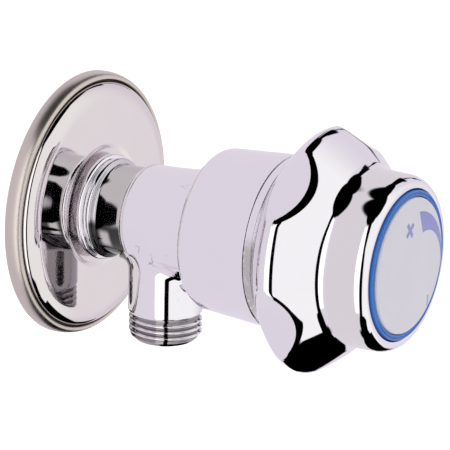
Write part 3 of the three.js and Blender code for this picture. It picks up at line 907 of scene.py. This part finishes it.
def handle_outline():
    """The handle from its rear edge over the lobes and the cap to the recess, and back inside."""
    rear_r = 24.0
    screw_hole_r = 3.1
    socket_r = 8.4
    socket_start = 74
    socket_end = 93
    start = HANDLE_START
    outside = [
        (22.2, start, 0.1),
        *quarter((rear_r - 0.06, start), (rear_r, start + 0.06), True, 3),
        *bend((rear_r, start + 1.6), (rear_r + 0.3, start + 3.4), (27.8, start + 5), 14),
        *bend((28.2, start + 5.3), (LOBE_R - 1.1, start + 9.3), (LOBE_R - 0.5, start + 11.0), 20),
        *bend((LOBE_R - 0.3, start + 11.7), (LOBE_R + 0.02, LOBE_REACH - 0.4),
              (LOBE_R - 0.18, LOBE_REACH + 0.1), 10),
        *bend((LOBE_R - 0.22, LOBE_REACH + 0.25), (LOBE_R - 0.35, LOBE_REACH + 0.75),
              (LOBE_R - 0.64, LOBE_REACH + 1.25), 8),
        *bend((LOBE_R - 0.7, LOBE_REACH + 1.35), (LOBE_R - 0.9, LOBE_REACH + 1.7),
              (LOBE_R - 1.16, LOBE_REACH + 2.05), 8),
        *bend((LOBE_R - 1.3, LOBE_REACH + 2.22), (30.1, 86.5), (25.95, 90.85), 24),
        *bend((25.85, 90.95), (25.55, 91.35), (25.26, 91.87), 8),
        *bend((25.22, 91.95), (24.96, 92.45), (24.8, 93.05), 8),
        *bend((24.78, 93.15), (CAP_R + 0.08, 93.9), (CAP_R, 95.2), 8),
        (CAP_R - 0.1, CAP_START + 4),
        (CAP_R - 0.25, HANDLE_END - 3.4),
        *bend((CAP_R - 0.36, HANDLE_END - 2.8), (CAP_R - 0.56, HANDLE_END - 2.05),
              (CAP_R - 0.95, HANDLE_END - 1.35), 8),
        *bend((CAP_R - 1.0, HANDLE_END - 1.27), (CAP_R - 1.18, HANDLE_END - 0.98),
              (CAP_R - 1.38, HANDLE_END - 0.7), 6),
        *bend((CAP_R - 1.43, HANDLE_END - 0.64), (CAP_R - 1.9, HANDLE_END),
              (CAP_R - 2.5, HANDLE_END), 8),
        (CAP_R - 2.8, HANDLE_END),
        *quarter((RECESS_R + 0.35, HANDLE_END), (RECESS_R, HANDLE_END - 0.35), True, 5),
    ]
    inside = [
        (RECESS_R, RECESS_FLOOR, 0.2),
        (screw_hole_r, RECESS_FLOOR, 0.2),
        (screw_hole_r, socket_end, 0.2),
        (socket_r, socket_end, 0.2),
        (socket_r, socket_start, 0.2),
        (socket_r + 2.2, socket_start, 0.3),
        (10.9, 91, 0.5),
        (21, 91, 1.0),
        (24.4, 86, 0.5),
        (26, 80, 0.5),
        (25.6, 77, 0.5),
        (22.2, 73, 0.3),
    ]
    return outline(outside + inside)


def handle():
    piece = as_object("handle_shell", turned_mesh(handle_outline(), HANDLE_AROUND, shape=lobed))
    return finished(piece, "handle", "polished_chrome", LOOKS["polished_chrome"], "handle")


# ---- index ring, disc and printed marks ----
def index_ring():
    """The coloured ring round the disc, with a fine groove in its face."""
    inner = DISC_R + 0.15
    end = RING_END + 0.25
    middle = (inner + RING_R) / 2
    section = [
        (inner, RING_START, 0.1),
        (RING_R, RING_START, 0.1),
        (RING_R, end - 0.5),
        *quarter((RING_R, end - 0.4), (RING_R - 0.4, end), False, 6),
        (middle + 0.3, end, 0.1),
        (middle, end - 0.3, 0.1),
        (middle - 0.3, end, 0.1),
        *quarter((inner + 0.3, end), (inner, end - 0.3), True, 6),
    ]
    piece = as_object("index_ring_shell", turned_mesh(outline(section), INDEX_AROUND))
    return finished(piece, "handle", "blue_plastic", LOOKS["blue_plastic"], "index_ring")


DISC_EDGE = DISC_CROWN - 0.25


def dome(radius):
    """Reach of the disc's domed face at a radius."""
    return DISC_CROWN - (DISC_CROWN - DISC_EDGE) * (radius / DISC_R) ** 2


def index_disc():
    """The pale disc: a domed face on a skirt."""
    skirt = 1.6
    rim_r = DISC_R - 0.7
    rows = 24
    radii = [rim_r * (1 - i / rows) for i in range(rows + 1)]
    face = [(radius, dome(radius)) for radius in radii]
    section = [
        (0, DISC_EDGE - 2.2),
        (DISC_R - skirt, DISC_EDGE - 2.4, 0.3),
        (DISC_R - skirt, DISC_START, 0.1),
        (DISC_R, DISC_START, 0.1),
        (DISC_R, DISC_EDGE - 1.2),
        *quarter((DISC_R, DISC_EDGE - 1.0), (rim_r + 0.05, dome(rim_r) - 0.03), False, 10),
        *face,
    ]
    section[-1] = (0, DISC_CROWN)
    piece = as_object("index_disc_shell", turned_mesh(outline(section), INDEX_AROUND))
    return finished(piece, "handle", "pale_plastic", LOOKS["pale_plastic"], "index_disc")


PRINT_LIFT = 0.02
PRINT_DEPTH = 0.04


def printed(name, columns, rows=6):
    """A thin printed mark on the dome: each column is a pair of (x, z) ends, in millimetres."""
    mesh = bmesh.new()
    layers = []
    for lift in (PRINT_LIFT, PRINT_LIFT - PRINT_DEPTH):
        grid = []
        for first, last in columns:
            line = []
            for i in range(rows + 1):
                x = first[0] + (last[0] - first[0]) * i / rows
                z = first[1] + (last[1] - first[1]) * i / rows
                line.append(mesh.verts.new(Vector((x, -dome(math.hypot(x, z)) - lift, z)) * MM))
            grid.append(line)
        layers.append(grid)
    top, under = layers
    for grid in layers:
        for a, b in zip(grid, grid[1:]):
            for i in range(rows):
                mesh.faces.new((a[i], b[i], b[i + 1], a[i + 1]))
    edges = [(line[0], low[0]) for line, low in zip(top, under)]
    edges += list(zip(top[-1], under[-1]))[1:]
    edges += [(line[-1], low[-1]) for line, low in zip(top, under)][-2::-1]
    edges += list(zip(top[0], under[0]))[-2:0:-1]
    for (a, low_a), (b, low_b) in zip(edges, edges[1:] + edges[:1]):
        mesh.faces.new((a, b, low_b, low_a))
    bmesh.ops.recalc_face_normals(mesh, faces=mesh.faces)
    piece = as_object(name, mesh)
    return finished(piece, "handle", "pale_plastic", LOOKS["index_print"])


def crescent():
    """A bow that is broad at the top and runs out to a fine tail on the +X side."""
    centre = Vector((2.2, -1.8))
    outer_r = 16.1
    start = math.radians(6.6)
    end = math.radians(117)
    slant = math.radians(16)
    count = 60
    columns = []
    for i in range(count + 1):
        t = i / count
        outer = start + (end - start) * t
        inner = outer + slant * (1 - t) ** 2
        width = 0.2 + 5.5 * (1 - t) ** 1.8
        columns.append([
            centre + Vector((math.sin(a), math.cos(a))) * r
            for a, r in ((outer, outer_r), (inner, outer_r - width))])
    return printed("index_crescent", columns)


def bar(name, centre, length, width, turn):
    """A straight printed bar."""
    along = Vector((math.cos(turn), math.sin(turn))) * length / 2
    across = Vector((-math.sin(turn), math.cos(turn))) * width / 2
    ends = (centre - along, centre + along)
    return printed(name, [[end - across, end + across] for end in ends])


def plus_mark():
    """Two crossed arms as one outline of columns: a bar with a broad middle."""
    centre = Vector((-1.3, 10.3))
    turn = math.radians(36)
    half = 2.35
    thick = 0.62
    along = Vector((math.cos(turn), math.sin(turn)))
    across = Vector((-math.sin(turn), math.cos(turn)))
    columns = []
    for reach, spread in ((-half, thick), (-thick - 0.001, thick), (-thick, half), (thick, half),
                          (thick + 0.001, thick), (half, thick)):
        middle = centre + along * reach
        columns.append([middle - across * spread, middle + across * spread])
    return printed("index_plus", columns)


# ---- CAD nodes that stay ----
HIDDEN_SLOTS = ("machined_brass", "spring_steel", "black_rubber", "red_fibre", "white_nylon")


def dress_inner_nodes():
    """Gives every CAD node that stays the look of its slot."""
    for entry in frame["record"]["subparts"]:
        if entry["material_slot"] in HIDDEN_SLOTS:
            node = frame["nodes"][entry["node"]]
            for place in node.material_slots:
                place.material = LOOKS[entry["material_slot"]]


# ---- floor, light and camera ----
FLOOR_DEPTH = 0.30
FLOOR_PALE = (0.93, 0.93, 0.93)
FLOOR_DEEP = (0.91, 0.91, 0.92)


def write_floor_paint(recipe):
    return {
        "Base Color": recipe.mix(recipe.noise(recipe.place(), 400, 2), FLOOR_PALE, FLOOR_DEEP),
        "Roughness": 0.8 + 0.1 * recipe.noise(recipe.place(), 30, 2),
    }


def floor():
    """A pale floor well below the valve, which the chrome doesn't mirror."""
    mesh = bmesh.new()
    bmesh.ops.create_grid(mesh, x_segments=2, y_segments=2, size=4.0)
    made = as_object("floor", mesh)
    made.location = (0, 0, -FLOOR_DEPTH)
    made.visible_glossy = False
    made.data.materials.append(look("floor_paint", {"Specular IOR Level": 0.1}, write_floor_paint))


LAVENDER = (0.81, 0.755, 0.835)
WHITE_PANEL = (1.03, 1.03, 1.02)
BRIGHT_PANEL = (1.45, 1.44, 1.43)
BLACK = (0.0, 0.0, 0.0)
DEGREES = 180 / math.pi

# The tent's panels and openings, in degrees: a turn is about Z, from +Y towards +X, and a height
# is above the level of the valve.
FRONT_TURNS = ((-134.0, -130.0), (95.0, 150.0))
STRIP_TURN = (-117.0, -89.0)
STRIP_HEIGHT = (-52.0, 56.0)
SEAM_TURN = -124.7
SEAM_HALF = 6.0
OPENING_AT = (-150, 82.5)
OPENING_HALF = 27.0
WING_TURN = (75.0, 98.0)
WING_FOOT = (28.0, 32.0)
POST_TURN = (83.0, 87.0)
POST_FOOT = (4.0, 7.0)
SHOULDER_AT = (86, 70)
SHOULDER_EDGE = (20.0, 22.0)


def studio():
    """A white tent with a bright strip, and black behind its openings, post and ground."""
    world = bpy.data.worlds.new("studio")
    bpy.context.scene.world = world
    world.use_nodes = True
    recipe = Recipe(world.node_tree)
    x, y, z = recipe.parts(recipe.node("ShaderNodeTexCoord", output="Generated"))
    turn = x.math("ARCTAN2", y) * DEGREES
    height = z.math("ARCSINE") * DEGREES

    def along(aim_turn, aim_height=0.0):
        """Cosine of the angle to a direction."""
        level = math.cos(math.radians(aim_height))
        return (x * (math.sin(math.radians(aim_turn)) * level)
                + y * (math.cos(math.radians(aim_turn)) * level)
                + z * math.sin(math.radians(aim_height)))

    def away_from(aim_turn, aim_height):
        """Angle to a direction, in degrees."""
        return along(aim_turn, aim_height).math("ARCCOSINE") * DEGREES

    left, right = FRONT_TURNS
    front = (1 - recipe.step(turn, *left)).math("MAXIMUM", recipe.step(turn, *right))
    tent = recipe.mix(front, LAVENDER, WHITE_PANEL)
    strip = recipe.between(turn, *STRIP_TURN, 1.5) * recipe.between(height, *STRIP_HEIGHT, 3.0)
    tent = recipe.mix(strip, tent, BRIGHT_PANEL)

    from_seam = along(SEAM_TURN + 90).math("ARCSINE").math("ABSOLUTE") * DEGREES
    seam = ((1 - recipe.step(from_seam, SEAM_HALF - 0.5, SEAM_HALF + 0.5))
            * recipe.step(along(SEAM_TURN), -0.02, 0.02))
    opening = 1 - recipe.step(away_from(*OPENING_AT), OPENING_HALF - 1.0, OPENING_HALF + 1.0)
    wing = recipe.between(turn, *WING_TURN, 1.5) * recipe.step(height, *WING_FOOT)
    post = recipe.between(turn, *POST_TURN, 0.8) * recipe.step(height, *POST_FOOT)
    shoulder = 1 - recipe.step(away_from(*SHOULDER_AT), *SHOULDER_EDGE)
    dark = seam
    for patch in (opening, wing, post, shoulder, dark_ground(recipe, turn, z, along)):
        dark = dark.math("MAXIMUM", patch)
    background = recipe.node("ShaderNodeBackground", None, {
        "Color": recipe.mix(dark, tent, BLACK), "Strength": 1.0})
    recipe.node("ShaderNodeOutputWorld", None, {"Surface": background})


def dark_ground(recipe, turn, z, along):
    """The ground: it reaches highest on one side, and falls away towards the wall and the front."""
    level = (1 - z * z).math("SQRT") + 0.001
    wall_side = recipe.step(along(-22) / level, 0.15, 0.6)
    left_side = recipe.step(along(-60) / level, 0.5, 0.85)
    front_side = recipe.step(along(-178) / level, 0.93, 0.99)
    raised = recipe.between(turn, 56.0, 94.0, 8.0)
    depth = 0.80 + 0.18 * wall_side.math("MAXIMUM", left_side) + 0.13 * front_side - 0.16 * raised
    return recipe.step(0 - z - depth, -0.012, 0.012)


def soft_light(name, energy, size, location, aim):
    """A square lamp that the chrome doesn't mirror."""
    light = bpy.data.lights.new(name, "AREA")
    light.energy = energy
    light.size = size
    made = bpy.data.objects.new(name, light)
    made.location = location
    made.rotation_euler = (Vector(aim) - Vector(location)).to_track_quat("-Z", "Y").to_euler()
    made.visible_glossy = False
    bpy.context.scene.collection.objects.link(made)


TURN = math.radians(-58.853)
TILT = math.radians(17.481)
ROLL = math.radians(0.901)
CAMERA_DISTANCE = 0.7436
CAMERA_TARGET = Vector((0, -0.04668, 0))
SENSOR = 36.0
LENS = 213.88
SHIFT = (0.00826, 0.00836)


def camera():
    """A long lens from the front left, looking down on the valve."""
    right = Vector((math.cos(TURN), math.sin(TURN), 0))
    back = Vector((math.sin(TURN) * math.cos(TILT), -math.cos(TURN) * math.cos(TILT), math.sin(TILT)))
    up = back.cross(right)
    side = right * math.cos(ROLL) + up * math.sin(ROLL)
    top = up * math.cos(ROLL) - right * math.sin(ROLL)
    data = bpy.data.cameras.new("camera")
    data.sensor_width = SENSOR
    data.lens = LENS
    data.shift_x, data.shift_y = SHIFT
    data.clip_start = 0.01
    made = bpy.data.objects.new("camera", data)
    turned = Matrix([list(row) for row in zip(side, top, back)]).to_4x4()
    made.matrix_world = Matrix.Translation(CAMERA_TARGET + back * CAMERA_DISTANCE) @ turned
    bpy.context.scene.collection.objects.link(made)
    bpy.context.scene.camera = made


camera()
wall_flange()
valve_body()
bonnet_cover()
handle()
index_ring()
index_disc()
crescent()
plus_mark()
bar("index_minus", centre=Vector((10.7, -12.6)), length=3.0, width=0.55, turn=math.radians(86))
dress_inner_nodes()
floor()
studio()
soft_light("overhead", energy=60.0, size=2.2, location=(0.3, 0.6, 2.2), aim=(0, 0.3, -FLOOR_DEPTH))
bpy.context.scene.view_settings.view_transform = "Standard"
